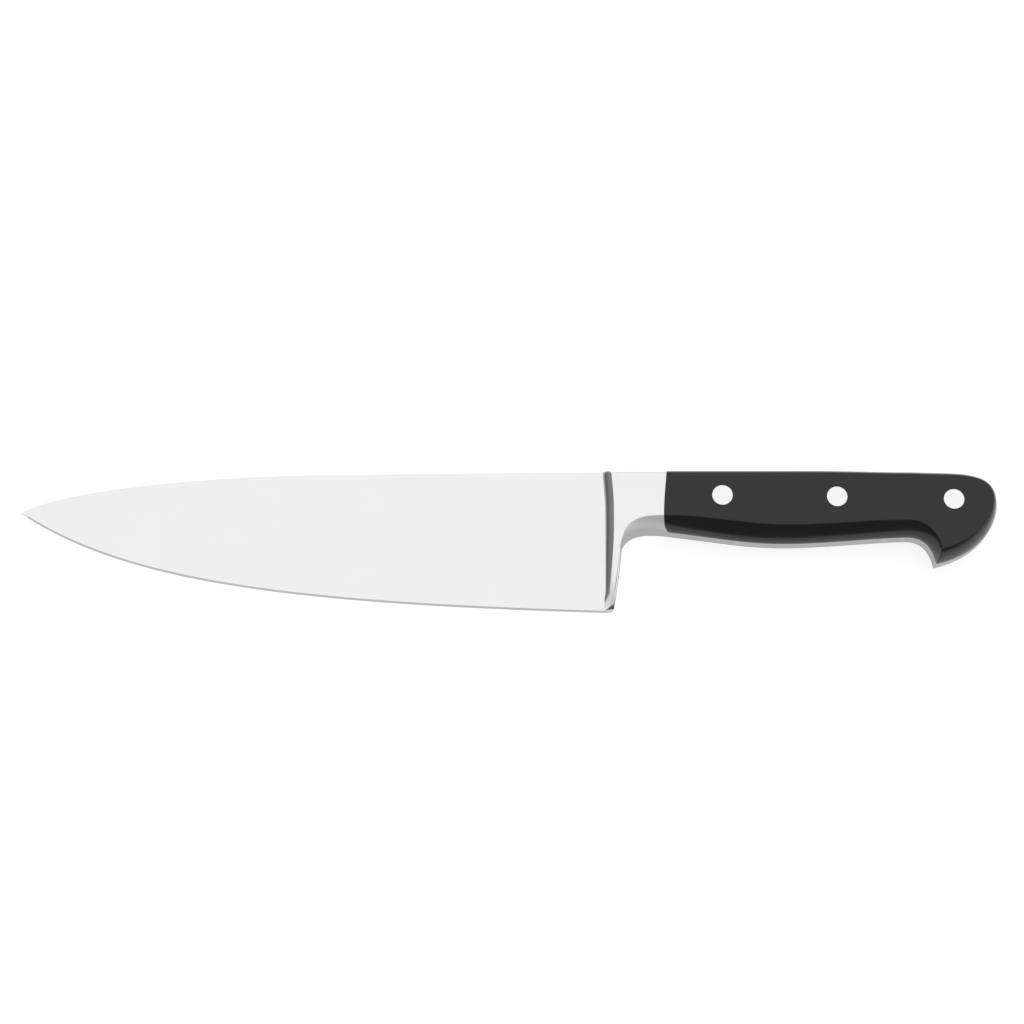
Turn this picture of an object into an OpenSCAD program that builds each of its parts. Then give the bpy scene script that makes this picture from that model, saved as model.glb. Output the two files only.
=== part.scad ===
// A forged 20 cm chef's knife with a full tang and two riveted handle scales.
// The knife lies flat on its right side. The tip points to -X, the butt to +X,
// the spine to +Y and the cutting edge to -Y. The plane through the middle of the
// blade is parallel to XY, and the knife rests on z = 0.
// All lengths are in millimetres.

/* [Blade] */
// Length of the blade, from its tip to the front of the bolster
blade_length = 200; // [150:5:260]
// Height of the blade at the heel
heel_height = 49.4; // [40:0.1:56]
// Thickness of the blade's back at the bolster
spine_thickness = 3.2; // [2.0:0.1:4.5]
// Thickness of the blade's back at the tip
tip_thickness = 0.9; // [0.5:0.1:1.5]
// Thickness of the blade just behind the sharpened edge
edge_shoulder = 0.44; // [0.2:0.02:0.8]
// Width of the sharpened bevel
edge_bevel = 0.7; // [0.3:0.1:1.5]

/* [Handle] */
// Thickness across the two scales and the tang
handle_thickness = 18; // [14:0.5:22]
// Thickness of the tang
tang_thickness = 4.8; // [3:0.1:6]
// Gap left for the glue line between each scale and the forging
glue_gap = 0.03; // [0.01:0.01:0.2]

/* [Rivets] */
// Diameter of the rivet heads
head_diameter = 6.9; // [5:0.1:9]
// Height of the rivet heads
head_height = 2.0; // [1:0.1:3]
// Outer diameter of the tubular rivet half
tube_diameter = 4.6; // [4:0.1:5.5]
// Diameter of the solid rivet half's shank
shank_diameter = 3.0; // [2:0.1:3.6]
// Difference in diameter between a rivet and the hole that it passes through
hole_clearance = 0.06; // [0.02:0.02:0.4]

/* [Hidden] */

steel = [0.80, 0.81, 0.82];
rivet_steel = [0.86, 0.86, 0.87];
black_plastic = [0.10, 0.10, 0.11];

handle_end = 132.9;
half_handle = handle_thickness / 2;
half_tang = tang_thickness / 2;
tip_y = -14.3;
beyond = 20;

// The drawing below has its origin at the top of the bolster's front, so this moves
// the knife to the middle of its bounding box, with its right side on z = 0.
centre_x = (blade_length - handle_end) / 2;
centre_y = heel_height / 2;

rivet_places = [[39.0, -10.5], [77.8, -11.0], [117.3, -11.9]];
rivet_facets = 48;

// ---- curves ----

function bezier(p, t) =
    pow(1 - t, 3) * p[0] + 3 * pow(1 - t, 2) * t * p[1]
    + 3 * (1 - t) * t * t * p[2] + pow(t, 3) * p[3];

// Points along a curve, without its last one, which begins the next curve.
function run(p, steps) = [for (i = [0 : steps - 1]) bezier(p, i / steps)];

// ---- blade ----

// The blade leaves the bolster here, and its last section is tucked inside the bolster.
blade_root = -1.5;
tucked = [1.2, -1, 3 - heel_height];

spine_curve = [[-blade_length, tip_y], [-190, -8.4], [-157, -2.0], [-98, -0.8]];
spine_line = [[-98, -0.8], [-65, -0.5], [-33, -0.2], [blade_root, -0.05]];
edge_curve = [[-blade_length, tip_y], [-163, -39.3], [-105, -46.3], [blade_root, 0.05 - heel_height]];

curved_stations = 24;
straight_stations = 8;
tip_crowding = 1.7;

// Cross-section heights are read where a curve crosses a station, by halving steps.
function curve_y(p, x, low = 0, high = 1, depth = 22) =
    depth == 0 ? bezier(p, (low + high) / 2)[1]
    : bezier(p, (low + high) / 2)[0] < x
        ? curve_y(p, x, (low + high) / 2, high, depth - 1)
        : curve_y(p, x, low, (low + high) / 2, depth - 1);

function spine_y(x) = x < -98 ? curve_y(spine_curve, x) : curve_y(spine_line, x);
function edge_y(x) = curve_y(edge_curve, x);

stations = concat(
    [for (i = [1 : curved_stations])
        -blade_length + (blade_length - 98) * pow(i / curved_stations, tip_crowding)],
    [for (i = [1 : straight_stations]) -98 + (98 + blade_root) * i / straight_stations]);

function half_spine(x) = (spine_thickness + (tip_thickness - spine_thickness) * -x / blade_length) / 2;

// One cross-section: back, face with a slightly convex grind, shoulder and edge.
function blade_side(x, top, bottom, side) =
    let (half = half_spine(x),
         shoulder_y = bottom + min(edge_bevel, (top - bottom) * 0.3),
         height = top - shoulder_y,
         half_shoulder = min(edge_shoulder / 2, half * 0.5),
         grind = 0.06 * (half - half_shoulder))
    [[x, top, side * (half - 0.15)],
     [x, top - 0.15 * min(1, height), side * half],
     [x, top - 0.35 * height, side * (half - 0.35 * (half - half_shoulder) + grind)],
     [x, top - 0.7 * height, side * (half - 0.7 * (half - half_shoulder) + grind)],
     [x, shoulder_y, side * half_shoulder],
     [x, bottom, side * 0.03]];

function reversed(list) = [for (i = [len(list) - 1 : -1 : 0]) list[i]];

function section(x, top, bottom) = concat(
    blade_side(x, top, bottom, -1),
    reversed(blade_side(x, top, bottom, 1)));

function blade_ring(x) = section(x, spine_y(x), edge_y(x));

// The tip is a tiny flat ring, so that every section has the same number of points.
function tip_ring() = [for (p = blade_ring(stations[0]))
    [-blade_length, tip_y + (p[1] - tip_y) * 0.08, p[2] * 0.25]];

// A closed solid through rings that all have the same number of points.
module loft(rings) {
    count = len(rings[0]);
    last = len(rings) - 1;
    polyhedron(
        points = [for (ring = rings) for (p = ring) p],
        faces = concat(
            [reversed([for (i = [0 : count - 1]) i])],
            [[for (i = [0 : count - 1]) last * count + i]],
            [for (r = [0 : last - 1]) for (i = [0 : count - 1])
                [r * count + i, r * count + (i + 1) % count, (r + 1) * count + i]],
            [for (r = [0 : last - 1]) for (i = [0 : count - 1])
                [r * count + (i + 1) % count, (r + 1) * count + (i + 1) % count,
                 (r + 1) * count + i]]),
        convexity = 6);
}

module blade_body() {
    loft(concat([tip_ring()], [for (x = stations) blade_ring(x)],
                [section(tucked[0], tucked[1], tucked[2])]));
}

// ---- handle outline ----

// Each stretch of the outline has the curve on the tang, the matching curve where the
// side face begins, how round the edge between them is at each end, and its steps.
outline = [
    [[[-4, 0], [20, 0], [50, 0], [70, 0]],
     [[-4, -2.2], [20, -2.2], [50, -2.2], [70, -2.2]], 1, 1, 1],
    [[[70, 0], [82, 0], [92, -0.5], [104, -0.5]],
     [[70, -2.2], [82, -2.2], [92, -2.8], [104, -2.8]], 1, 1, 4],
    [[[104, -0.5], [120, -1.3], [133, 0.5], [handle_end, -12]],
     [[104, -2.8], [119, -3.4], [131, -1.8], [130.9, -11.5]], 1, 0.8, 12],
    [[[handle_end, -12], [133, -16.2], [129.5, -28.7], [111.3, -33]],
     [[130.9, -11.5], [130.4, -17.5], [125.5, -25.5], [112.2, -29.5]], 0.8, 0.5, 12],
    [[[111.3, -33], [109.8, -26], [107, -23.2], [101, -23.4]],
     [[112.2, -29.5], [112.8, -28.1], [111.3, -17.9], [99, -19.15]], 0.2, 0, 10],
    [[[101, -23.4], [90.2, -23.7], [73.3, -25.6], [60, -25.6]],
     [[99, -19.15], [87.5, -18.95], [80.3, -20.55], [61, -20.65]], 0, 0, 8],
    [[[60, -25.6], [46.5, -25.5], [39.7, -24], [20.6, -21.7]],
     [[61, -20.65], [47, -20.7], [33, -17], [19.1, -17.5]], 0, 0, 8],
    [[[20.6, -21.7], [12, -20.7], [6.5, -21.6], [5, -27.5]],
     [[19.1, -17.5], [7.5, -17.4], [5.7, -21.3], [4.2, -28]], 0, 0.3, 12],
    [[[5, -27.5], [4.6, -33], [3.8, -39], [2.3, -48]],
     [[4.2, -28], [4, -33], [3.3, -39], [1.9, -47.8]], 0.3, 1, 8],
    [[[2.3, -48], [1.9, -48.5], [1.5, -49], [1, -heel_height]],
     [[1.9, -47.8], [1.5, -48.4], [1.2, -48.9], [0.8, -heel_height]], 1, 1, 2]];

// The loft runs on past the bolster's front, where the front relief cuts it back.
front_closure = [[[1, -heel_height], [0.8, -heel_height]], [[-4, -heel_height], [-4, -heel_height]]];

outer_points = concat([for (s = outline) each run(s[0], s[4])], [for (c = front_closure) c[0]]);
inner_points = concat([for (s = outline) each run(s[1], s[4])], [for (c = front_closure) c[1]]);
roundness = concat([for (s = outline) for (i = [0 : s[4] - 1]) s[2] + (s[3] - s[2]) * i / s[4]],
                   [for (c = front_closure) 1]);

// The edge between the tang and the side face: upright at first, then rolling over. It runs on
// a little past the side face, where the flat of the side cuts it.
wall_start = half_tang - 0.2;
wall_steps = 6;
past_side = 0.3;

function edge_roll(round_part, t) = bezier(
    [[0, wall_start], [0.27 * round_part, 5.3], [0.2 + 0.4 * round_part, 7.1],
     [1.12, half_handle + past_side]], t);

function handle_ring(t, side) = [for (i = [0 : len(outer_points) - 1])
    let (roll = edge_roll(roundness[i], t),
         p = outer_points[i] + (inner_points[i] - outer_points[i]) * roll[0])
    [p[0], p[1], side * edge_roll(0, t)[1]]];

module handle_body() {
    intersection() {
        loft(concat(
            [for (k = [wall_steps : -1 : 0]) handle_ring(k / wall_steps, -1)],
            [for (k = [0 : wall_steps]) handle_ring(k / wall_steps, 1)]));
        translate([-beyond, -heel_height - beyond, -half_handle])
            cube([handle_end + 2 * beyond, heel_height + 2 * beyond, handle_thickness]);
    }
}

// ---- bolster ----

// Front wall of the bolster, rising from the blade in a shallow hollow (x, z).
front_wall = [[-0.8, 0], [0.3, 2.4], [1.9, 5.4], [2.1, half_handle + 0.5]];
// How the guard thins from the side face down to the heel (y, z).
guard_taper = [[-19.5, half_handle], [-25, half_handle], [-36, 6.2], [-47, 1.9]];
heel_half = 0.5;

module front_relief() {
    wall = run(front_wall, 8);
    translate([0, beyond / 4, 0])
        rotate([90, 0, 0])
            linear_extrude(height = heel_height + beyond / 2)
                polygon(concat(
                    wall, [front_wall[3], [-beyond, half_handle + 0.5], [-beyond, -half_handle - 0.5],
                           [front_wall[3][0], -front_wall[3][1]]],
                    [for (i = [len(wall) - 1 : -1 : 1]) [wall[i][0], -wall[i][1]]]));
}

module guard_relief(side) {
    relief_end = 8.5;
    translate([relief_end, 0, 0])
        rotate([0, -90, 0])
            linear_extrude(height = relief_end + beyond)
                polygon([for (p = concat(run(guard_taper, 10),
                                         [guard_taper[3], [-heel_height - 1, heel_half],
                                          [-heel_height - 1, half_handle + 1],
                                          [guard_taper[0][0], half_handle + 1]]))
                    [side * p[1], p[0]]]);
}

// ---- joint between the bolster and the scales ----

joint_line = concat(
    [[20.5, 3], [20.4, -1]],
    run([[20.4, -1], [19.7, -8], [19.2, -13], [19.15, -16.5]], 4),
    run([[19.15, -16.5], [19.1, -20.2], [19.3, -21.6], [22, -22.2]], 6),
    [[22, -22.2]]);

// The space that a scale fills: everything behind the joint line, outside the tang.
module scale_space(inset) {
    shifted = [for (p = joint_line) [p[0] + inset, p[1] + inset]];
    translate([0, 0, half_tang + inset])
        linear_extrude(height = half_handle + 1)
            polygon(concat(shifted,
                           [[60, -40], [handle_end + 10, -40], [handle_end + 10, 3 + inset]]));
}

// ---- rivets ----

head_seat = half_handle - head_height;
tube_end = head_seat - 0.6;
shank_end = -head_seat + 1.0;

module rivet_hole(diameter) {
    translate([0, 0, -half_handle - 1])
        cylinder(h = handle_thickness + 2, d = diameter + hole_clearance, $fn = rivet_facets);
}

module head_hole() {
    translate([0, 0, head_seat])
        cylinder(h = head_height + 1, d = head_diameter + hole_clearance, $fn = rivet_facets);
}

module male_half() {
    translate([0, 0, head_seat])
        cylinder(h = head_height, d = head_diameter, $fn = rivet_facets);
    translate([0, 0, shank_end])
        cylinder(h = head_seat - shank_end + head_height / 2, d = shank_diameter, $fn = rivet_facets);
}

module female_half() {
    difference() {
        union() {
            translate([0, 0, -half_handle])
                cylinder(h = head_height, d = head_diameter, $fn = rivet_facets);
            translate([0, 0, -half_handle + head_height / 2])
                cylinder(h = tube_end + half_handle - head_height / 2, d = tube_diameter,
                         $fn = rivet_facets);
        }
        translate([0, 0, -head_seat + 0.4])
            cylinder(h = handle_thickness, d = shank_diameter + hole_clearance, $fn = rivet_facets);
    }
}

// ---- pieces ----

module in_place() {
    translate([centre_x, centre_y, half_handle])
        children();
}

module forging() {
    difference() {
        union() {
            difference() {
                handle_body();
                front_relief();
                guard_relief(1);
                guard_relief(-1);
                scale_space(0);
                mirror([0, 0, 1])
                    scale_space(0);
            }
            blade_body();
        }
        for (place = rivet_places)
            translate([place[0], place[1], 0])
                rivet_hole(tube_diameter);
    }
}

module scale() {
    difference() {
        intersection() {
            handle_body();
            scale_space(glue_gap);
        }
        for (place = rivet_places)
            translate([place[0], place[1], 0]) {
                rivet_hole(tube_diameter);
                head_hole();
            }
    }
}

module forged_blade() {
    color(steel)
        in_place()
            forging();
}

module left_scale() {
    color(black_plastic)
        in_place()
            scale();
}

module right_scale() {
    color(black_plastic)
        in_place()
            mirror([0, 0, 1])
                scale();
}

module rivet_male(number) {
    color(rivet_steel)
        in_place()
            translate([rivet_places[number][0], rivet_places[number][1], 0])
                male_half();
}

module rivet_female(number) {
    color(rivet_steel)
        in_place()
            translate([rivet_places[number][0], rivet_places[number][1], 0])
                female_half();
}

module front_rivet_male() { rivet_male(0); }
module front_rivet_female() { rivet_female(0); }
module middle_rivet_male() { rivet_male(1); }
module middle_rivet_female() { rivet_female(1); }
module rear_rivet_male() { rivet_male(2); }
module rear_rivet_female() { rivet_female(2); }

forged_blade();
left_scale();
right_scale();
front_rivet_male();
front_rivet_female();
middle_rivet_male();
middle_rivet_female();
rear_rivet_male();
rear_rivet_female();
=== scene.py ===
"""A forged 20 cm chef's knife lying flat on a pale floor, in metres.

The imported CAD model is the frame. The forging and the two handle scales are rebuilt as smooth
lofts that fill the same space, and the six rivet halves keep their CAD meshes. Shapes are drawn
in millimetres, in the drawing's own axes: x = 0 at the front of the bolster with the blade
towards -x, y = 0 on the spine with the edge towards -y, and z = 0 in the middle of the blade.
"""

import math

import bmesh
import bpy
import numpy as np
from mathutils import Matrix, Vector


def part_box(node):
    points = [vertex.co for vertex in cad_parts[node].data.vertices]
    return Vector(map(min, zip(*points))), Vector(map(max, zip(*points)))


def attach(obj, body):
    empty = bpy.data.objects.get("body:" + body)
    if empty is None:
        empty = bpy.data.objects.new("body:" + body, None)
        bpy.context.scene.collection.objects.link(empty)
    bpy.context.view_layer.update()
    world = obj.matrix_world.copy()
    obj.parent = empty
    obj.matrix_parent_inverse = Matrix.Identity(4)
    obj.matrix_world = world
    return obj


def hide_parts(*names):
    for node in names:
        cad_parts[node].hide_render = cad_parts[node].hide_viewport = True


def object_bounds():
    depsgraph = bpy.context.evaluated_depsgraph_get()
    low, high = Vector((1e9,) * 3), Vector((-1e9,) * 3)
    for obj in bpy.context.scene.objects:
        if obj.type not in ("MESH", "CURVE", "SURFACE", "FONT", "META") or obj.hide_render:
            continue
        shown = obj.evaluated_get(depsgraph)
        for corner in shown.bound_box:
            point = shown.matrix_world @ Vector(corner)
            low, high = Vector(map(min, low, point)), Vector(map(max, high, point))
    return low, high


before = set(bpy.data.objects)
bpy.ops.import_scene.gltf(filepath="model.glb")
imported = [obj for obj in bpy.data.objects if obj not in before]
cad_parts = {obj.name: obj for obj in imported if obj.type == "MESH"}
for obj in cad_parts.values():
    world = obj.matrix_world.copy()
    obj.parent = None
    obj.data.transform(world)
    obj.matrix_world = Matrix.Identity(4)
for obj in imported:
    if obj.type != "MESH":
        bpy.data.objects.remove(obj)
cad_low, cad_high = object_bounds()

# ---- driving dimensions, in millimetres ----

MM = 0.001
BLADE_LENGTH = 200.0
HEEL_HEIGHT = (cad_high.y - cad_low.y) / MM
HALF_HANDLE = (cad_high.z - cad_low.z) / MM / 2
HALF_TANG = 2.4
GLUE_GAP = 0.03
TIP_Y = -14.3

DRAWING_ORIGIN = Vector((cad_low.x + BLADE_LENGTH * MM, cad_high.y, (cad_low.z + cad_high.z) / 2))

RIVETS = ["front_rivet", "middle_rivet", "rear_rivet"]


# ---- curves ----

def bezier(points, t):
    """Points of a cubic at the parameters t, as an array with one row for each t."""
    p = np.asarray(points, float)
    t = np.asarray(t, float)[..., None]
    return (1 - t) ** 3 * p[0] + 3 * (1 - t) ** 2 * t * p[1] + 3 * (1 - t) * t * t * p[2] + t**3 * p[3]


def read_curve(points, wanted, axis=0, steps=600):
    """The other coordinate of a plane cubic wherever its own `axis` coordinate has the wanted value."""
    drawn = bezier(points, np.linspace(0, 1, steps))
    if drawn[0, axis] > drawn[-1, axis]:
        drawn = drawn[::-1]
    return np.interp(wanted, drawn[:, axis], drawn[:, 1 - axis])


def smooth_step(t):
    t = np.clip(t, 0, 1)
    return t * t * (3 - 2 * t)


# ---- outline of the handle, the bolster and the heel ----

HEEL_INNER = 0.2 - HEEL_HEIGHT

# Each stretch: the curve on the tang, the matching curve where the side face begins, and how
# round the edge between them is at its two ends. They run from the top of the bolster to the
# butt, round the hook, along the belly and down the back of the guard to the heel.
OUTLINE = [
    [[[-4, 0], [20, 0], [50, 0], [70, 0]], [[-4, -3], [20, -3], [50, -3], [70, -3]], 1, 1],
    [[[70, 0], [82, 0], [92, -0.5], [104, -0.5]], [[70, -3], [82, -3], [92, -3.5], [104, -3.5]], 1, 1],
    [[[104, -0.5], [120, -1.3], [133, 0.5], [132.9, -12]],
     [[104, -3.5], [118, -4.1], [130.6, -2.2], [130.7, -11.5]], 1, 0.65],
    [[[132.9, -12], [133, -16.2], [129.5, -28.7], [111.3, -33]],
     [[130.7, -11.5], [130.4, -17.5], [125.5, -25.5], [112.2, -29.5]], 0.65, 0.25],
    [[[111.3, -33], [109.8, -26], [107, -23.45], [101, -23.65]],
     [[112.2, -29.5], [112.8, -28.1], [111.3, -17.9], [99, -19.15]], 0.25, 0],
    [[[101, -23.65], [90.2, -23.95], [73.3, -25.9], [60, -25.9]],
     [[99, -19.15], [87.5, -18.95], [80.3, -20.55], [61, -20.65]], 0, 0],
    [[[60, -25.9], [46.5, -25.8], [39.7, -24.2], [20.6, -21.75]],
     [[61, -20.65], [47, -20.7], [33, -17], [19.1, -17.5]], 0, 0],
    [[[20.6, -21.75], [12, -20.75], [6.5, -21.6], [5, -27.5]],
     [[19.1, -17.5], [7.5, -17.4], [5.7, -21.3], [4.2, -28]], 0, 0.6],
    [[[5, -27.5], [4.6, -33], [3.8, -39], [2.3, -48]],
     [[4.2, -28], [4.25, -33], [3.6, -39], [2.1, -47.9]], 0.6, 1],
    [[[2.3, -48], [1.9, -48.5], [1.5, -49], [1, -HEEL_HEIGHT]],
     [[2.1, -47.9], [1.7, -48.4], [1.3, -48.8], [0.8, HEEL_INNER]], 1, 1],
    [[[1, -HEEL_HEIGHT], [0, -HEEL_HEIGHT], [-2, -HEEL_HEIGHT], [-4, -HEEL_HEIGHT]],
     [[0.8, HEEL_INNER], [0, HEEL_INNER], [-2, HEEL_INNER], [-4, HEEL_INNER]], 1, 1],
]


def outline_at(u):
    """Outer point, inner point and roundness at places along the outline, counted in stretches."""
    u = np.asarray(u, float)
    index = np.clip(u.astype(int), 0, len(OUTLINE) - 1)
    outer = np.zeros(u.shape + (2,))
    inner = np.zeros(u.shape + (2,))
    roundness = np.zeros(u.shape)
    for number, (outer_curve, inner_curve, start, end) in enumerate(OUTLINE):
        here = index == number
        t = u[here] - number
        outer[here] = bezier(outer_curve, t)
        inner[here] = bezier(inner_curve, t)
        roundness[here] = start + (end - start) * t
    return outer, inner, roundness


# Columns join a place on the upper outline to one on the lower outline. They fan out round the
# hook at one end and down to the heel at the other. Each key is a column's own place and its
# places on the upper and lower outlines, counted in stretches.
COLUMN_KEYS = [(0, 0, 11), (1, 0.08, 10), (2, 0.13, 8), (3, 0.26, 7.45), (4, 0.35, 7), (5, 0.87, 6),
               (6, 1.9, 5), (7, 2.5, 4), (8, 3.35, 3.35)]
LAST_COLUMN = 8
KEY_PLACE, KEY_UPPER, KEY_LOWER = (np.array(k, float) for k in zip(*COLUMN_KEYS))

# Rows run round half a section: from the middle of the top, over the rounded or creased edge,
# across the side face, over the lower edge and to the middle of the underside.
ROLL_STEPS = 12
CREASE_STEPS = 4
FACE_STEPS = 18
# How much the rows of the side face crowd towards its two edges.
FACE_CROWDING = 0.45

# The edge's section is a cubic from the tang's corner to the side face, in points (share of the
# way in, height). These are its two middle points for a flat bevel and for a full round.
BEVELLED = np.array([[0, 4.5], [0.42, 7.1]])
ROUNDED = np.array([[0.22, 5.3], [0.57, 9.0]])
# The crease between the edge and the side face is softened over this width, or over this share
# of a narrow edge. Most of the same width is taken from the edge, which rises about this high.
CREASE_WIDTH = 0.55
CREASE_SHARE = 0.4
CREASE_BELOW = 0.9
EDGE_RISE = 5


def edge_profile(roundness, t):
    """How far in from the outer to the inner outline, and how high, along the edge's section."""
    r = roundness[..., None]
    first, second = (flat + (full - flat) * r for flat, full in zip(BEVELLED, ROUNDED))
    start = np.array([0, HALF_TANG])
    end = np.array([1, HALF_HANDLE])
    t = np.asarray(t, float)[..., None]
    return (1 - t) ** 3 * start + 3 * (1 - t) ** 2 * t * first + 3 * (1 - t) * t * t * second + t**3 * end


def edge_rows(u):
    """Rows from the tang's corner, up the edge and over the crease on to the side face."""
    outer, inner, roundness = outline_at(u)
    inward = inner - outer
    inset = np.linalg.norm(inward, axis=-1)
    direction = inward / inset[..., None]
    softening = np.minimum(CREASE_WIDTH, CREASE_SHARE * inset)

    def point(t):
        share, height = np.moveaxis(edge_profile(roundness, t), -1, 0)
        flat = outer + inward * share[..., None]
        return np.concatenate([flat, height[..., None]], -1)

    last = 1 - softening / (inset + EDGE_RISE) * CREASE_BELOW
    rows = [point(last * k / ROLL_STEPS) for k in range(ROLL_STEPS + 1)]
    corner = point(np.ones_like(roundness))
    landing = corner.copy()
    landing[..., :2] += direction * softening[..., None]
    before = rows[-1]
    for k in range(1, CREASE_STEPS + 1):
        t = k / CREASE_STEPS
        rows.append((1 - t) ** 2 * before + 2 * (1 - t) * t * corner + t * t * landing)
    return np.stack(rows, -2)


EDGE_ROWS = ROLL_STEPS + 1 + CREASE_STEPS
EVEN_STEPS = np.arange(1, FACE_STEPS) / FACE_STEPS
FACE_FRACTIONS = (1 - FACE_CROWDING) * EVEN_STEPS + FACE_CROWDING * smooth_step(EVEN_STEPS)
ROWS = 2 * EDGE_ROWS + len(FACE_FRACTIONS) + 2

# The guard thins along its back in a curve (y, z), and then straight to HEEL_HALF at the heel. In
# front of its back, given as (y, x), its face slopes down towards the blade, given as (y, slope).
# All of this holds as far as x = GUARD_REACH.
GUARD_TAPER = [[-19.5, HALF_HANDLE], [-25, HALF_HANDLE], [-36, 6.2], [-47, 1.9]]
GUARD_REACH = 9.0
HEEL_HALF = 0.8
GUARD_BACK = [(-HEEL_HEIGHT, 2.2), (-44, 2.6), (-31, 4.6)]
GUARD_SLOPE = [(-HEEL_HEIGHT, 0.3), (-47.5, 0.42), (-45.5, 0.53), (-42, 0.42), (-38, 0.25), (-30, 0)]
THINNEST_GUARD = 0.26


def guard_share(x, y):
    """Half thickness of the guard, as a share of the handle's half thickness."""
    curved = read_curve(GUARD_TAPER, np.clip(y, GUARD_TAPER[3][0], GUARD_TAPER[0][0]))
    last_y, last_z = GUARD_TAPER[3]
    below = last_z + (last_y - y) / (HEEL_HEIGHT + last_y) * (HEEL_HALF - last_z)
    thickness = np.where(y < last_y, below, curved)
    back = np.interp(y, *zip(*GUARD_BACK))
    slope = np.interp(y, *zip(*GUARD_SLOPE))
    thickness = np.maximum(thickness - slope * np.maximum(0, back - x), THINNEST_GUARD)
    return np.where(x < GUARD_REACH, thickness / HALF_HANDLE, 1)


def body_rows(place):
    """Half a section of the handle or bolster for each column place: shape (columns, ROWS, 3)."""
    upper = np.interp(place, KEY_PLACE, KEY_UPPER)
    lower = np.interp(place, KEY_PLACE, KEY_LOWER)
    top = edge_rows(upper)
    bottom = edge_rows(lower)[..., ::-1, :]
    first = top[..., -1:, :]
    last = bottom[..., :1, :]
    face = first + FACE_FRACTIONS[:, None] * (last - first)
    top_middle = top[..., :1, :] * [1, 1, 0]
    bottom_middle = bottom[..., -1:, :] * [1, 1, 0]
    rows = np.concatenate([top_middle, top, face, bottom, bottom_middle], -2)
    rows[..., 2] *= guard_share(rows[..., 0], rows[..., 1])
    return rows


# ---- front wall of the bolster, and the joint with the scales ----

# The bolster's front wall rises from the blade in a hollow curve (x, z), and leans towards the
# blade near the spine.
FRONT_WALL = [[-1.0, 0.9], [0.45, 0.93], [0.3, 1.9], [2.1, HALF_HANDLE]]
WALL_LEAN = 0.75
LEAN_DEPTH = 13
JOINT_SIDE = [[20.4, -1], [19.7, -8], [19.2, -13], [19.15, -16.5]]
JOINT_CORNER = [[19.15, -16.5], [19.1, -20.2], [19.3, -21.6], [22, -22.2]]


def wall_lean(y):
    """How far the front wall is moved in x at this depth."""
    return -WALL_LEAN * (1 - smooth_step(-y / LEAN_DEPTH))


def wall_x(y, z):
    """Where the bolster's front wall stands."""
    return read_curve(FRONT_WALL, z, axis=1) + wall_lean(y)


def joint_x(y):
    """Where the scales begin, down their front end and round its lower corner."""
    side = read_curve(JOINT_SIDE, y, axis=1)
    corner = read_curve(JOINT_CORNER, y, axis=1)
    return np.where(y > JOINT_SIDE[3][1], side, corner)


def crossings(test, start, end, samples=3000):
    """For each row, the column place where test(points) first rises through zero."""
    place = np.linspace(start, end, samples)
    value = test(body_rows(place))
    found = np.zeros(ROWS)
    for row in range(ROWS):
        rising = np.nonzero((value[:-1, row] < 0) & (value[1:, row] >= 0))[0][0]
        low, high = value[rising, row], value[rising + 1, row]
        found[row] = place[rising] + (place[rising + 1] - place[rising]) * -low / (high - low)
    return found


def columns_between(start, end, shares):
    """Columns whose rows each run from their own start place to their own end place."""
    place = start + (end - start) * np.asarray(shares)[:, None]
    points = np.zeros(place.shape + (3,))
    for row in range(ROWS):
        points[:, row] = body_rows(place[:, row])[:, row]
    return points


def rounded(before, corner, after, steps):
    """Columns that turn a corner, without their end columns."""
    t = (np.arange(1, steps) / steps)[:, None, None]
    return (1 - t) ** 2 * before + 2 * (1 - t) * t * corner + t * t * after


MOST_OF_LINE = 0.45


def toward(start, end, distance):
    """Points a distance along the lines from start to end, but never as much as half way."""
    gap = end - start
    length = np.linalg.norm(gap, axis=-1, keepdims=True)
    return start + gap * np.minimum(distance / np.maximum(length, 1e-9), MOST_OF_LINE)


# ---- blade ----

SPINE_CURVE = [[-BLADE_LENGTH, TIP_Y], [-190, -8.4], [-157, -2.0], [-98, -0.8]]
SPINE_LINE = [[-98, -0.8], [-65, -0.5], [-33, -0.2], [-0.8, 0]]
EDGE_CURVE = [[-BLADE_LENGTH, TIP_Y], [-163, -39.3], [-105, -46.3], [-0.8, -HEEL_HEIGHT]]
# Half thicknesses: of the spine at the bolster and behind the tip, of the shoulder above the
# sharpened bevel, and of the cutting edge itself.
HALF_SPINE = 1.6
HALF_TIP = 0.45
HALF_SHOULDER = 0.2
HALF_EDGE = 0.012
EDGE_BEVEL = 0.75
SPINE_EASE = 0.22
# How far the face bulges in the middle, as a share of the half thickness.
GRIND_BULGE = 0.11
# Where the blade narrows to its point, its half thickness is held to HALF_POINT and a share of
# its height. The shoulder and the eased spine are held to shares of that half thickness, and the
# bevel to a share of the height.
HALF_POINT = 0.02
POINT_TAPER = 0.06
POINT_SHOULDER = 0.5
POINT_EASE = 0.4
POINT_BEVEL = 0.25
BLADE_COLUMNS = 150
TIP_CROWDING = 1.5
SPINE_ROWS = 7
BEVEL_ROWS = 3


def blade_limits(x):
    """The y of the spine and of the cutting edge."""
    spine = np.where(x < SPINE_CURVE[3][0], read_curve(SPINE_CURVE, x), read_curve(SPINE_LINE, x))
    return spine, read_curve(EDGE_CURVE, x)


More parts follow.
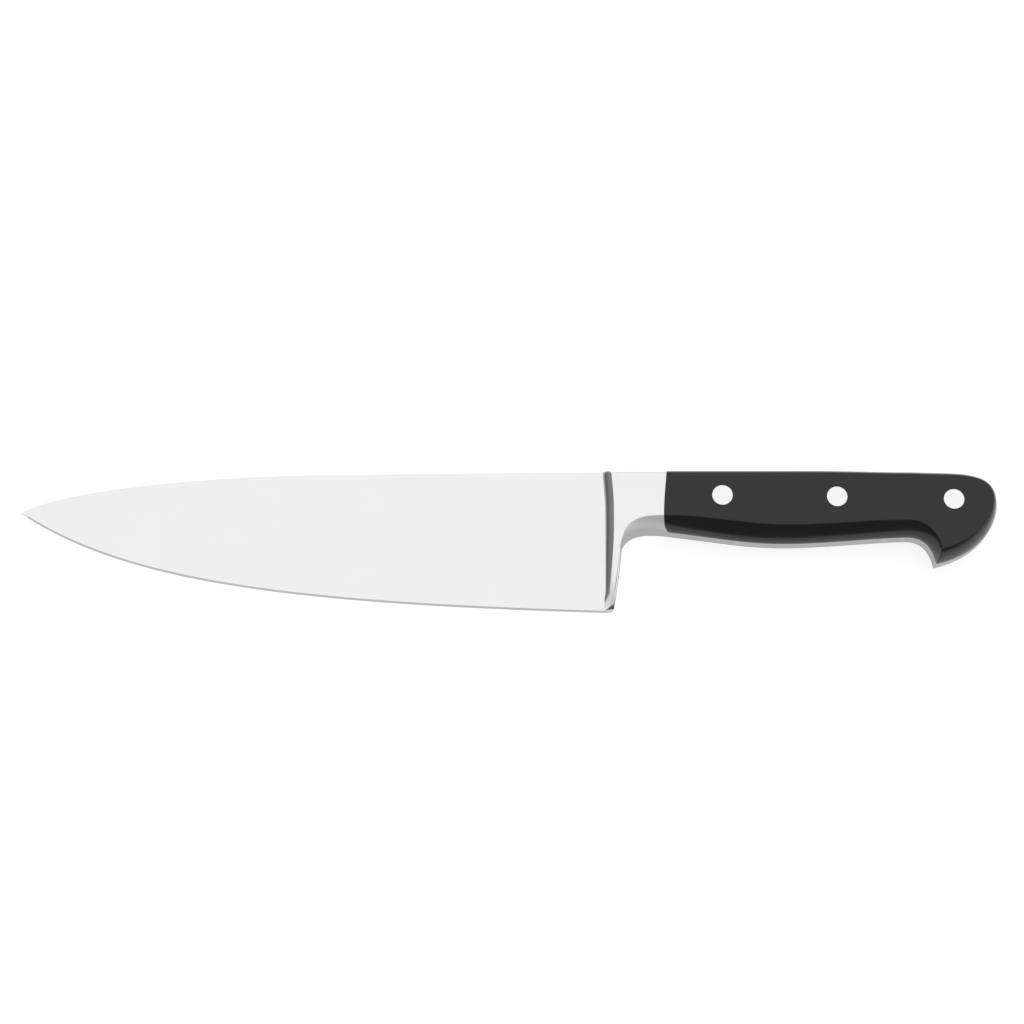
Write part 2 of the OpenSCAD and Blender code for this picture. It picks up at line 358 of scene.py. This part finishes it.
def blade_rows(x, depth_shares):
    """Half a blade section at each x. depth_shares says how far down the face each row lies."""
    spine, edge = blade_limits(x)
    height = spine - edge
    along = (x + BLADE_LENGTH) / BLADE_LENGTH
    half = HALF_TIP + (HALF_SPINE - HALF_TIP) * along
    half = np.minimum(half, HALF_POINT + POINT_TAPER * height)
    shoulder = np.minimum(HALF_SHOULDER, POINT_SHOULDER * half)
    ease = np.minimum(SPINE_EASE, POINT_EASE * half)
    bevel = np.minimum(EDGE_BEVEL, POINT_BEVEL * height)
    rows = np.zeros((len(x), ROWS, 3))
    rows[..., 0] = x[:, None]
    face_first = EDGE_ROWS
    face_last = ROWS - 2 - BEVEL_ROWS
    for row in range(ROWS):
        if row <= face_first - SPINE_ROWS:
            y = spine
            z = (half - ease) * row / (face_first - SPINE_ROWS)
        elif row < face_first:
            turn = math.pi / 2 * (row - face_first + SPINE_ROWS) / SPINE_ROWS
            y = spine - ease * (1 - math.cos(turn))
            z = half - ease * (1 - math.sin(turn))
        elif row <= face_last:
            low, high = depth_shares[face_first], depth_shares[face_last]
            share = (depth_shares[row] - low) / (high - low)
            y = spine - ease - (height - ease - bevel) * share
            z = half + (shoulder - half) * share + GRIND_BULGE * half * 4 * share * (1 - share)
        else:
            share = min(1.0, (row - face_last) / BEVEL_ROWS)
            y = spine - height + bevel * (1 - share)
            z = shoulder + (HALF_EDGE - shoulder) * share
        rows[:, row, 1] = y
        rows[:, row, 2] = z if row < ROWS - 1 else 0
    rows[:, 0, 2] = 0
    rows[height <= 0, :, 1:] = [TIP_Y, 0]
    return rows


# ---- meshes ----

def grid_mesh(name, points, mirrored):
    """A mesh from columns of rows, with its mirror image in z = 0 as well when mirrored."""
    columns, rows = points.shape[:2]
    sides = [points]
    if mirrored:
        sides.append(points * [1, 1, -1])
    vertices = np.concatenate([s.reshape(-1, 3) for s in sides])
    faces = []
    for side in range(len(sides)):
        base = side * columns * rows
        for c in range(columns - 1):
            for r in range(rows - 1):
                quad = [base + c * rows + r, base + c * rows + r + 1,
                        base + (c + 1) * rows + r + 1, base + (c + 1) * rows + r]
                faces.append(quad if side == 0 else quad[::-1])
    return mesh_from(name, vertices, faces)


def mesh_from(name, vertices, faces):
    """A mesh with these vertices and faces."""
    data = bpy.data.meshes.new(name)
    data.from_pydata(vertices.tolist(), [], faces)
    data.update()
    return data


# Points closer than this are joined. It is much less than the thickness of the cutting edge.
WELD = 0.001


def cleaned(data):
    """Welds the columns that meet and turns every face outwards."""
    bm = bmesh.new()
    bm.from_mesh(data)
    bmesh.ops.remove_doubles(bm, verts=bm.verts, dist=WELD)
    bmesh.ops.dissolve_degenerate(bm, edges=bm.edges, dist=WELD / 4)
    bmesh.ops.recalc_face_normals(bm, faces=bm.faces)
    if bm.calc_volume(signed=True) < 0:
        bmesh.ops.reverse_faces(bm, faces=bm.faces)
    bm.to_mesh(data)
    bm.free()
    return data


def cut_away(data, cutters):
    """The mesh with the cutter meshes taken out of it. The cutters are used up."""
    block = bpy.data.objects.new("block", data)
    bpy.context.scene.collection.objects.link(block)
    tools = []
    for cutter in cutters:
        tool = bpy.data.objects.new("cutter", cutter)
        bpy.context.scene.collection.objects.link(tool)
        tools.append(tool)
        cut = block.modifiers.new("cut", "BOOLEAN")
        cut.operation = "DIFFERENCE"
        cut.solver = "EXACT"
        cut.object = tool
    evaluated = block.evaluated_get(bpy.context.evaluated_depsgraph_get())
    result = bpy.data.meshes.new_from_object(evaluated)
    for tool in tools + [block]:
        bpy.data.objects.remove(tool)
    for used in cutters + [data]:
        bpy.data.meshes.remove(used)
    return result


def in_metres(data):
    """Moves a mesh from the drawing, in millimetres, to its place in the frame."""
    data.transform(Matrix.Translation(DRAWING_ORIGIN) @ Matrix.Scale(MM, 4))
    return data


def prism(name, first_ring, last_ring):
    """A closed mesh between two rings of points."""
    count = len(first_ring)
    faces = [list(range(count))[::-1], list(range(count, 2 * count))]
    for i in range(count):
        j = (i + 1) % count
        faces.append([i, j, count + j, count + i])
    return cleaned(mesh_from(name, np.array(first_ring + last_ring, float), faces))


def turned_shape(name, profile, centre, sides):
    """A closed mesh turned about the z direction from (radius, z) points, first and last on the axis."""
    vertices = [(centre[0], centre[1], profile[0][1]), (centre[0], centre[1], profile[-1][1])]
    rings = profile[1:-1]
    for radius, z in rings:
        for i in range(sides):
            turn = 2 * math.pi * i / sides
            vertices.append((centre[0] + radius * math.cos(turn), centre[1] + radius * math.sin(turn), z))
    faces = []
    for i in range(sides):
        j = (i + 1) % sides
        faces.append([0, 2 + i, 2 + j])
        last = 2 + (len(rings) - 1) * sides
        faces.append([1, last + j, last + i])
        for r in range(len(rings) - 1):
            low = 2 + r * sides
            faces.append([low + i, low + sides + i, low + sides + j, low + j])
    return cleaned(mesh_from(name, np.array(vertices), faces))


SHARP_ANGLE = math.radians(32)


def finished_piece(name, data, replaced, material):
    """Puts a mesh in the scene, smooth but for its sharp corners, in place of a CAD node."""
    piece = bpy.data.objects.new(name, data)
    bpy.context.scene.collection.objects.link(piece)
    data.shade_smooth()
    data.set_sharp_from_angle(angle=SHARP_ANGLE)
    data.materials.append(material)
    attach(piece, "root")
    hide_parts(replaced)


# ---- forging ----

FRONT_RADIUS = 0.5
JOINT_RADIUS = 0.12
WALL_STEPS = 12
FRONT_STEPS = 6
JOINT_STEPS = 4
BOLSTER_COLUMNS = 34
HANDLE_COLUMNS = 190
ROOT_BLEND = 1.6
SHORTEST_WALL = 0.1
# The column places between which the bolster's front and its joint with the scales are looked for.
FRONT_SEARCH = (0.0, 3.5)
JOINT_SEARCH = (2.2, 5.0)


def front_places():
    """Where the bolster's front wall cuts each row."""
    return crossings(lambda p: p[..., 0] - wall_x(p[..., 1], p[..., 2]), *FRONT_SEARCH)


def joint_places(gap):
    """Where each row passes from the bolster to the scales, with a gap for the glue."""
    return crossings(lambda p: p[..., 0] - joint_x(p[..., 1] + gap) - gap, *JOINT_SEARCH)


def forging_columns():
    """Half the forging, from the tip of the blade to the butt."""
    front = front_places()
    joint = joint_places(0)
    corner = columns_between(front, joint, [0])[0]
    depth_shares = -corner[:, 1] / HEEL_HEIGHT

    reach = np.linspace(0, 1, BLADE_COLUMNS) ** TIP_CROWDING
    root_x = FRONT_WALL[0][0]
    stations = -BLADE_LENGTH + (BLADE_LENGTH + root_x - ROOT_BLEND) * reach
    blade = blade_rows(stations, depth_shares)
    root = blade_rows(np.array([root_x]), depth_shares)[0]
    root[:, 0] += wall_lean(root[:, 1])

    climb = bezier(FRONT_WALL, np.linspace(0, 1, WALL_STEPS + 1))
    climb = (climb - climb[0]) / (climb[-1] - climb[0])
    wall = root + climb[:, None, 1:] * (corner - root)
    wall[..., 0] = root[:, 0] + climb[:, :1] * np.maximum(corner[:, 0] - root[:, 0], SHORTEST_WALL)

    # The two columns on each side of the front corner give way to its rounding.
    bolster = columns_between(front, joint, np.linspace(0, 1, BOLSTER_COLUMNS))
    before = toward(corner, wall[-3], FRONT_RADIUS)
    after = toward(corner, bolster[2], FRONT_RADIUS)
    front_round = rounded(before, corner, after, FRONT_STEPS)

    rim = bolster[-1]
    inside = rim.copy()
    inside[:, 2] = np.minimum(rim[:, 2], HALF_TANG)
    before_joint = toward(rim, bolster[-2], JOINT_RADIUS)
    into_joint = toward(rim, inside, JOINT_RADIUS)
    joint_round = rounded(before_joint, rim, into_joint, JOINT_STEPS)

    tang = columns_between(joint, np.full(ROWS, LAST_COLUMN), np.linspace(0, 1, HANDLE_COLUMNS))
    tang[..., 2] = np.minimum(tang[..., 2], HALF_TANG)

    return np.concatenate([
        blade, wall[:-2], before[None], front_round, after[None], bolster[2:-1],
        before_joint[None], joint_round, into_joint[None], tang])


# The heel is ground off on both sides (y, z), at a slant and then more steeply down to its edge.
# The cut's ends are given as (x, how much higher the cut is there).
HEEL_GRIND = [(-44, 4.49), (-48.4, 0.24), (-49.47, 0.07), (-50.5, 0.07), (-50.5, 12), (-44, 12)]
HEEL_GRIND_ENDS = [(-1.0, 0), (4.0, 0.3)]


def heel_cutter(side):
    """A prism across the heel, a little higher at its back than at its front."""
    rings = [[(x, y + lift, side * z) for y, z in HEEL_GRIND] for x, lift in HEEL_GRIND_ENDS]
    return prism("heel_cutter", *rings)


def forging_mesh():
    """Blade, bolster, guard and tang in one, drilled for the rivets and ground off at the heel."""
    whole = cleaned(grid_mesh("forging", forging_columns(), True))
    return in_metres(cut_away(whole, [heel_cutter(1), heel_cutter(-1)] + drills(tang_hole())))


# ---- rivet holes ----

DRILL_SIDES = 96
HEAD_RADIUS = 3.45
HEAD_HEIGHT = 2.0
TUBE_RADIUS = 2.3
HOLE_CLEARANCE = 0.03
# How much the recess widens at its mouth, and how full the rounding there is.
MOUTH_EASE = 0.07
MOUTH_TURN = 0.3
# How far a cutter goes past the face that it cuts through.
OVERRUN = 1


def rivet_centres():
    """Rivet places in the drawing, from the CAD nodes."""
    centres = []
    for name in RIVETS:
        low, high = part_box(name + "_female")
        middle = ((low + high) / 2 - DRAWING_ORIGIN) / MM
        centres.append((middle.x, middle.y))
    return centres


def tang_hole():
    """The hole for a rivet's tube, right through the tang."""
    radius = TUBE_RADIUS + HOLE_CLEARANCE
    reach = HALF_TANG + OVERRUN
    return [(0, -reach), (radius, -reach), (radius, reach), (0, reach)]


def scale_hole(side):
    """The hole for a rivet's tube, and the recess for its head with a slightly eased mouth."""
    tube = TUBE_RADIUS + HOLE_CLEARANCE
    head = HEAD_RADIUS + HOLE_CLEARANCE
    top = HALF_HANDLE
    seat = top - HEAD_HEIGHT
    turn = MOUTH_EASE * MOUTH_TURN
    points = [(0, 0), (tube, 0), (tube, seat), (head, seat), (head, top - MOUTH_EASE),
              (head + turn, top - turn), (head + MOUTH_EASE, top),
              (head + MOUTH_EASE, top + OVERRUN), (0, top + OVERRUN)]
    return [(radius, side * z) for radius, z in points]


def drills(profile):
    """One cutter of this profile for each rivet."""
    return [turned_shape("rivet_drill", profile, centre, DRILL_SIDES) for centre in rivet_centres()]


# ---- scales ----

def scale_columns():
    """The outer skin of a scale, and its flat inner face with the same columns and rows."""
    joint = joint_places(GLUE_GAP)
    skin = columns_between(joint, np.full(ROWS, LAST_COLUMN), np.linspace(0, 1, HANDLE_COLUMNS))
    skin = skin[:, 1:-1]
    floor = HALF_TANG + GLUE_GAP
    skin[..., 2] = np.maximum(skin[..., 2], floor)
    rim = skin[0]
    inside = rim * [1, 1, 0] + [0, 0, floor]
    after = toward(rim, skin[1], JOINT_RADIUS)
    before = toward(rim, inside, JOINT_RADIUS)
    turned = rounded(before, rim, after, JOINT_STEPS)
    outer = np.concatenate([inside[None], before[None], turned, after[None], skin[1:]])
    inner = outer * [1, 1, 0] + [0, 0, floor]
    return outer, inner


def scale_mesh(name, side):
    """The left scale on side 1 and the right one on side -1, drilled for the rivets."""
    outer, inner = scale_columns()
    upper = grid_mesh(name, outer * [1, 1, side], False)
    lower = grid_mesh(name + "_inner", inner * [1, 1, side], False)
    bm = bmesh.new()
    bm.from_mesh(upper)
    bm.from_mesh(lower)
    bm.to_mesh(upper)
    bm.free()
    bpy.data.meshes.remove(lower)
    return in_metres(cut_away(cleaned(upper), drills(scale_hole(side))))


# ---- shader nodes ----

class Nodes:
    """Short calls that add shader nodes to a tree."""

    def __init__(self, tree):
        self.tree = tree

    def add(self, kind, **settings):
        node = self.tree.nodes.new("ShaderNode" + kind)
        for name, value in settings.items():
            setattr(node, name, value)
        return node

    def feed(self, socket, value):
        if isinstance(value, bpy.types.NodeSocket):
            self.tree.links.new(value, socket)
        else:
            socket.default_value = value

    def math(self, operation, first, second=0.0):
        node = self.add("Math", operation=operation)
        self.feed(node.inputs[0], first)
        self.feed(node.inputs[1], second)
        return node.outputs["Value"]

    def product(self, first, *others):
        """Everything given, multiplied together."""
        for other in others:
            first = self.math("MULTIPLY", first, other)
        return first

    def vector_math(self, operation, first, second):
        node = self.add("VectorMath", operation=operation)
        self.feed(node.inputs[0], first)
        self.feed(node.inputs[1], second)
        return node.outputs["Value" if operation == "DOT_PRODUCT" else "Vector"]

    def parts(self, vector):
        node = self.add("SeparateXYZ")
        self.feed(node.inputs[0], vector)
        return node.outputs["X"], node.outputs["Y"], node.outputs["Z"]

    def change(self, kind, value, start, end, low, high):
        node = self.add("MapRange", interpolation_type=kind)
        for name, given in zip(("Value", "From Min", "From Max", "To Min", "To Max"),
                               (value, start, end, low, high)):
            self.feed(node.inputs[name], given)
        return node.outputs["Result"]

    def ramp(self, value, start, end, low=0.0, high=1.0):
        """A smooth change from low where the value is at start to high where it is at end."""
        return self.change("SMOOTHSTEP", value, start, end, low, high)

    def blend(self, share, low, high):
        """Low where the share is 0, high where it is 1, and even in between."""
        return self.change("LINEAR", share, 0.0, 1.0, low, high)

    def streaks(self, place, per_mm, detail=2.0):
        """Noise from 0 to 1, with its own frequency per millimetre along x, y and z."""
        noise = self.add("TexNoise")
        self.feed(noise.inputs["Vector"], self.vector_math("MULTIPLY", place, per_mm))
        noise.inputs["Scale"].default_value = 1.0
        noise.inputs["Detail"].default_value = detail
        return noise.outputs[0]

    def relief(self, height, depth):
        """A surface normal for a texture this deep, in metres."""
        bump = self.add("Bump")
        bump.inputs["Distance"].default_value = depth
        self.feed(bump.inputs["Height"], height)
        return bump.outputs["Normal"]


# ---- materials ----

MICRON = 1e-6


def new_material(name):
    """A material, its node helper and shader, and the place on the knife in millimetres."""
    made = bpy.data.materials.new(name)
    made.use_nodes = True
    nodes = Nodes(made.node_tree)
    shader = made.node_tree.nodes["Principled BSDF"]
    from_origin = nodes.vector_math("SUBTRACT", nodes.add("TexCoord").outputs["Object"], DRAWING_ORIGIN)
    place = nodes.vector_math("MULTIPLY", from_origin, (1 / MM, 1 / MM, 1 / MM))
    return made, nodes, shader, place


# Tones are linear, from 0 for black to 1 for white.
POLISHED_TONE = 0.87
POLISHED_ROUGHNESS = 0.2
# The forging's edges, underside and back are only ground, their own rougher finish, and their colour is
# painted darker the more steeply they stand: painted shade.
GROUND_TONES_WITH_PAINTED_SHADE = (0.45, 0.80)
GROUND_ROUGHNESS = 0.55
# The bolster's front wall is painted almost black: painted shade.
PAINTED_SHADE_WALL_TONE = 0.14
WALL_ROUGHNESS = 0.3
# The heel's ground facets, which face downwards, are painted darker: painted shade.
PAINTED_SHADE_HEEL_FACET_TONE = 0.3
HEEL_FACET_ROUGHNESS = 0.3
# The honed bevel along the cutting edge is its own finish, and is painted darker as well: painted shade.
EDGE_BEVEL_TONE_WITH_PAINTED_SHADE = 0.5
WEAR_TONE = 0.06
BRIGHTEST_STEEL = 0.93
STEEL_RELIEF = 0.8 * MICRON
# What the lines and the clouds multiply the tone by, and what they add to the roughness.
LINE_TONES = (0.96, 1.04)
CLOUD_TONES = (0.975, 1.025)
LINE_ROUGHNESS = (-0.05, 0.05)
CLOUD_ROUGHNESS = (-0.04, 0.04)

# Noise frequencies per millimetre along x, y and z.
BLADE_LINES = (8.0, 0.22, 0.22)
BLADE_BANDS = (1.9, 0.05, 0.05)
EDGE_LINES = (0.12, 6.0, 6.0)
STEEL_CLOUDS = (0.03, 0.05, 0.05)
BAND_SHARE = 0.35

# Where a corner is sharp enough to be rubbed, in the renderer's measure of pointiness.
RUBBED_CORNER = (0.53, 0.60)

# A finish, or a patch of painted shade, starts at the first value of a pair and is full at the second. X and
# Y are places in millimetres, and level is how much a face looks up or down: 1 when flat, 0 when upright.
GUARD_X = (6.0, 4.0)
GUARD_Y = (-22.0, -26.0)
GUARD_LEVEL_BONUS = 0.25
STEEP_LEVEL = (0.955, 0.90)
PAINTED_SHADE_LEVELS = (0.1, 0.88)
SPINE_FACING = (0.2, 0.6)
SPINE_LEVEL = (0.18, 0.34)
WALL_FACING = (-0.8, -0.98)
BLADE_X = (-0.6, -1.2)
HEEL_EDGE_Y = (-48.2, -48.5)
BEVEL_LEVEL = (0.995, 0.985)
BEVEL_LEAST_LEVEL = (0.95, 0.96)
BEVEL_FACING = (-0.03, -0.1)
HEEL_Y = (-47.0, -47.4)
HEEL_LEVEL = (0.85, 0.80)
HEEL_FACING = (-0.5, -0.6)


def steel_finishes(nodes, place, normal):
    """Masks for the forging's finishes and for the painted shade on its front wall, heel facets and cutting
    edge, found from the place and the direction of each face.
    """
    x, y = nodes.parts(place)[:2]
    normal_x, normal_y, normal_z = nodes.parts(normal)
    level = nodes.math("ABSOLUTE", normal_z)
    by_guard = nodes.ramp(x, *GUARD_X)

    guard_face = nodes.product(by_guard, nodes.ramp(y, *GUARD_Y))
    eased_level = nodes.math("ADD", level, nodes.product(guard_face, GUARD_LEVEL_BONUS))
    spine_round = nodes.product(nodes.ramp(normal_y, *SPINE_FACING), nodes.ramp(level, *SPINE_LEVEL))
    ground = nodes.product(nodes.ramp(eased_level, *STEEP_LEVEL), nodes.math("SUBTRACT", 1.0, spine_round))

    # The bolster's front wall, which is painted dark as painted shade.
    wall = nodes.product(nodes.ramp(normal_x, *WALL_FACING), by_guard)
    heel = nodes.product(nodes.ramp(level, *HEEL_LEVEL), by_guard,
                         nodes.ramp(y, *HEEL_Y), nodes.ramp(normal_y, *HEEL_FACING))
    by_edge = nodes.math("MAXIMUM", nodes.ramp(x, *BLADE_X), nodes.ramp(y, *HEEL_EDGE_Y))
    edge = nodes.product(nodes.ramp(level, *BEVEL_LEVEL), nodes.ramp(level, *BEVEL_LEAST_LEVEL), by_edge,
                         nodes.ramp(normal_y, *BEVEL_FACING))
    return level, ground, wall, heel, edge


def steel_material():
    """Satin steel: fine grinding lines across the blade, and along every edge of the forging, with painted
    shade on its steep ground faces, front wall, heel facets and cutting edge.
    """
    made, nodes, shader, place = new_material("forged_steel")
    geometry = nodes.add("NewGeometry")
    level, ground, wall, heel, edge = steel_finishes(nodes, place, geometry.outputs["Normal"])

    across = nodes.blend(BAND_SHARE, nodes.streaks(place, BLADE_LINES), nodes.streaks(place, BLADE_BANDS))
    lines = nodes.blend(ground, across, nodes.streaks(place, EDGE_LINES))
    clouds = nodes.streaks(place, STEEL_CLOUDS, 3.0)
    worn = nodes.ramp(geometry.outputs["Pointiness"], *RUBBED_CORNER)

    # Ground faces get painted shade: darker the more upright they stand.
    tone = nodes.blend(ground, POLISHED_TONE, nodes.ramp(level, *PAINTED_SHADE_LEVELS, *GROUND_TONES_WITH_PAINTED_SHADE))
    # Painted shade on the bolster's front wall.
    tone = nodes.blend(wall, tone, PAINTED_SHADE_WALL_TONE)
    # Painted shade on the heel's facets.
    tone = nodes.blend(heel, tone, PAINTED_SHADE_HEEL_FACET_TONE)
    # The honed bevel along the cutting edge, with painted shade.
    tone = nodes.blend(edge, tone, EDGE_BEVEL_TONE_WITH_PAINTED_SHADE)
    tone = nodes.product(tone, nodes.blend(lines, *LINE_TONES), nodes.blend(clouds, *CLOUD_TONES))
    tone = nodes.math("ADD", tone, nodes.product(worn, WEAR_TONE))
    nodes.feed(shader.inputs["Base Color"], nodes.math("MINIMUM", tone, BRIGHTEST_STEEL))

    roughness = nodes.blend(ground, POLISHED_ROUGHNESS, GROUND_ROUGHNESS)
    roughness = nodes.blend(wall, roughness, WALL_ROUGHNESS)
    roughness = nodes.blend(heel, roughness, HEEL_FACET_ROUGHNESS)
    variation = nodes.math("ADD", nodes.blend(lines, *LINE_ROUGHNESS), nodes.blend(clouds, *CLOUD_ROUGHNESS))
    nodes.feed(shader.inputs["Roughness"], nodes.math("ADD", roughness, variation))
    nodes.feed(shader.inputs["Normal"], nodes.relief(lines, STEEL_RELIEF))
    shader.inputs["Metallic"].default_value = 1.0
    return made


SANDING_LINES = (0.10, 4.0, 4.0)
PLASTIC_GRAIN = (3.5, 3.5, 3.5)
HANDLED_PATCHES = (0.05, 0.08, 0.08)
PLASTIC_TONES = (0.001, 0.004)
PLASTIC_GRAIN_TONE = 0.002
PLASTIC_CORNER_TONE = 0.006
PLASTIC_ROUGHNESS = (0.14, 0.26)
SANDING_ROUGHNESS = (-0.04, 0.04)
PLASTIC_CORNER_ROUGHNESS = 0.06
PLASTIC_RELIEF = 1.5 * MICRON
SANDING_DEPTH = 0.7
GRAIN_DEPTH = 0.5


def plastic_material():
    """Black moulded plastic, finely sanded along the handle and rubbed smooth by the hand."""
    made, nodes, shader, place = new_material("black_plastic")
    sanding = nodes.streaks(place, SANDING_LINES)
    grain = nodes.streaks(place, PLASTIC_GRAIN, 3.0)
    handled = nodes.streaks(place, HANDLED_PATCHES, 3.0)
    corner = nodes.ramp(nodes.add("NewGeometry").outputs["Pointiness"], *RUBBED_CORNER)

    tone = nodes.blend(handled, *PLASTIC_TONES)
    tone = nodes.math("ADD", tone, nodes.product(grain, PLASTIC_GRAIN_TONE))
    tone = nodes.math("ADD", tone, nodes.product(corner, PLASTIC_CORNER_TONE))
    nodes.feed(shader.inputs["Base Color"], tone)

    roughness = nodes.blend(handled, *PLASTIC_ROUGHNESS)
    roughness = nodes.math("ADD", roughness, nodes.blend(sanding, *SANDING_ROUGHNESS))
    roughness = nodes.math("ADD", roughness, nodes.product(corner, PLASTIC_CORNER_ROUGHNESS))
    nodes.feed(shader.inputs["Roughness"], roughness)

    texture = nodes.math("ADD", nodes.product(sanding, SANDING_DEPTH), nodes.product(grain, GRAIN_DEPTH))
    nodes.feed(shader.inputs["Normal"], nodes.relief(texture, PLASTIC_RELIEF))
    return made


RIVET_LINES = (0.25, 7.0, 7.0)
RIVET_CLOUDS = (0.3, 0.3, 0.3)
RIVET_TONES = (0.89, 0.95)
RIVET_CLOUD_TONES = (0.98, 1.02)
RIVET_ROUGHNESS = (0.22, 0.32)
RIVET_CLOUD_ROUGHNESS = (-0.03, 0.03)


def rivet_material():
    """Rivet heads ground flush with the scales, so their lines run along the handle too."""
    made, nodes, shader, place = new_material("rivet_steel")
    lines = nodes.streaks(place, RIVET_LINES)
    clouds = nodes.streaks(place, RIVET_CLOUDS)
    tone = nodes.product(nodes.blend(lines, *RIVET_TONES), nodes.blend(clouds, *RIVET_CLOUD_TONES))
    nodes.feed(shader.inputs["Base Color"], tone)
    clouding = nodes.blend(clouds, *RIVET_CLOUD_ROUGHNESS)
    nodes.feed(shader.inputs["Roughness"], nodes.math("ADD", nodes.blend(lines, *RIVET_ROUGHNESS), clouding))
    nodes.feed(shader.inputs["Normal"], nodes.relief(lines, STEEL_RELIEF))
    shader.inputs["Metallic"].default_value = 1.0
    return made


# ---- pieces ----

steel = steel_material()
plastic = plastic_material()
rivet_metal = rivet_material()

finished_piece("forging", forging_mesh(), "forged_blade", steel)
for name, side, replaced in (("left_grip", 1, "left_scale"), ("right_grip", -1, "right_scale")):
    finished_piece(name, scale_mesh(name, side), replaced, plastic)
for name in RIVETS:
    for half in ("male", "female"):
        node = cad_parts[f"{name}_{half}"]
        node.data.materials.clear()
        node.data.materials.append(rivet_metal)

# ---- stage ----

bpy.context.scene.view_settings.view_transform = "Standard"

WHITE = (1, 1, 1, 1)
FLOOR_REACH = 8.0
FLOOR_TONE = 0.33
FLOOR_ROUGHNESS = 0.9
FLOOR_GLOW = 0.84


def make_floor():
    """A matt pale floor with a glow of its own, so that it is nearly white and shadows stay faint."""
    data = bpy.data.meshes.new("floor")
    corners = [(x * FLOOR_REACH, y * FLOOR_REACH, 0) for x, y in ((-1, -1), (1, -1), (1, 1), (-1, 1))]
    data.from_pydata(corners, [], [(0, 1, 2, 3)])
    floor = bpy.data.objects.new("floor", data)
    bpy.context.scene.collection.objects.link(floor)
    paint = bpy.data.materials.new("floor_paint")
    paint.use_nodes = True
    shader = paint.node_tree.nodes["Principled BSDF"]
    shader.inputs["Base Color"].default_value = (FLOOR_TONE, FLOOR_TONE, FLOOR_TONE, 1)
    shader.inputs["Roughness"].default_value = FLOOR_ROUGHNESS
    shader.inputs["Specular IOR Level"].default_value = 0
    shader.inputs["Emission Color"].default_value = WHITE
    shader.inputs["Emission Strength"].default_value = FLOOR_GLOW
    data.materials.append(paint)


# The studio is a dim grey room. A wide softbox hangs overhead: its edges are given as slopes away
# from straight up, where its light has faded out and where it is full.
ABOVE_HORIZON = 0.001
ROOM_LIGHT = 0.24
SOFTBOX_LIGHT = 0.76
SOFTBOX_LEFT = (-2.4, -0.4)
SOFTBOX_RIGHT = (1.75, 1.1)
SOFTBOX_FRONT = (-0.82, -0.42)
SOFTBOX_BACK = (2.2, 1.2)
# Two panels stand at the sides: the direction of the middle, how far from there the light is full
# and where it has faded out (degrees), and its strength.
PANELS = [
    ((1, -0.1, 0.12), 15, 50, 0.50),
    ((0, 1, 0.15), 15, 50, 0.30),
]


def make_world():
    """The studio's light, worked out from the direction that it comes from."""
    world = bpy.data.worlds.new("studio")
    bpy.context.scene.world = world
    world.use_nodes = True
    nodes = Nodes(world.node_tree)
    direction = nodes.add("TexCoord").outputs["Generated"]
    sideways, forwards, upwards = nodes.parts(direction)
    height = nodes.math("MAXIMUM", upwards, ABOVE_HORIZON)
    across = nodes.math("DIVIDE", sideways, height)
    along = nodes.math("DIVIDE", forwards, height)
    box = nodes.product(
        nodes.ramp(across, *SOFTBOX_LEFT), nodes.ramp(across, *SOFTBOX_RIGHT),
        nodes.ramp(along, *SOFTBOX_FRONT), nodes.ramp(along, *SOFTBOX_BACK))
    light = nodes.math("ADD", nodes.product(box, SOFTBOX_LIGHT), ROOM_LIGHT)
    for axis, full, gone, strength in PANELS:
        facing = nodes.vector_math("DOT_PRODUCT", direction, Vector(axis).normalized())
        edge, middle = (math.cos(math.radians(angle)) for angle in (gone, full))
        light = nodes.math("ADD", light, nodes.ramp(facing, edge, middle, 0, strength))
    background = world.node_tree.nodes["Background"]
    background.inputs["Color"].default_value = WHITE
    nodes.feed(background.inputs["Strength"], light)


LENS = 85
SENSOR_WIDTH = 36
CAMERA_TILT = math.radians(17)
CAMERA_DISTANCE = 825.67 * MM
CAMERA_AIM = Vector((1.34, 10.91, 9.0)) * MM


def make_camera():
    """A camera that looks down on the knife, tilted to show a little of the handle's underside."""
    data = bpy.data.cameras.new("camera")
    data.lens = LENS
    data.sensor_width = SENSOR_WIDTH
    camera = bpy.data.objects.new("camera", data)
    bpy.context.scene.collection.objects.link(camera)
    camera.rotation_euler = (CAMERA_TILT, 0, 0)
    back = Vector((0, -math.sin(CAMERA_TILT), math.cos(CAMERA_TILT)))
    camera.location = CAMERA_AIM + back * CAMERA_DISTANCE
    bpy.context.scene.camera = camera


make_floor()
make_world()
make_camera()
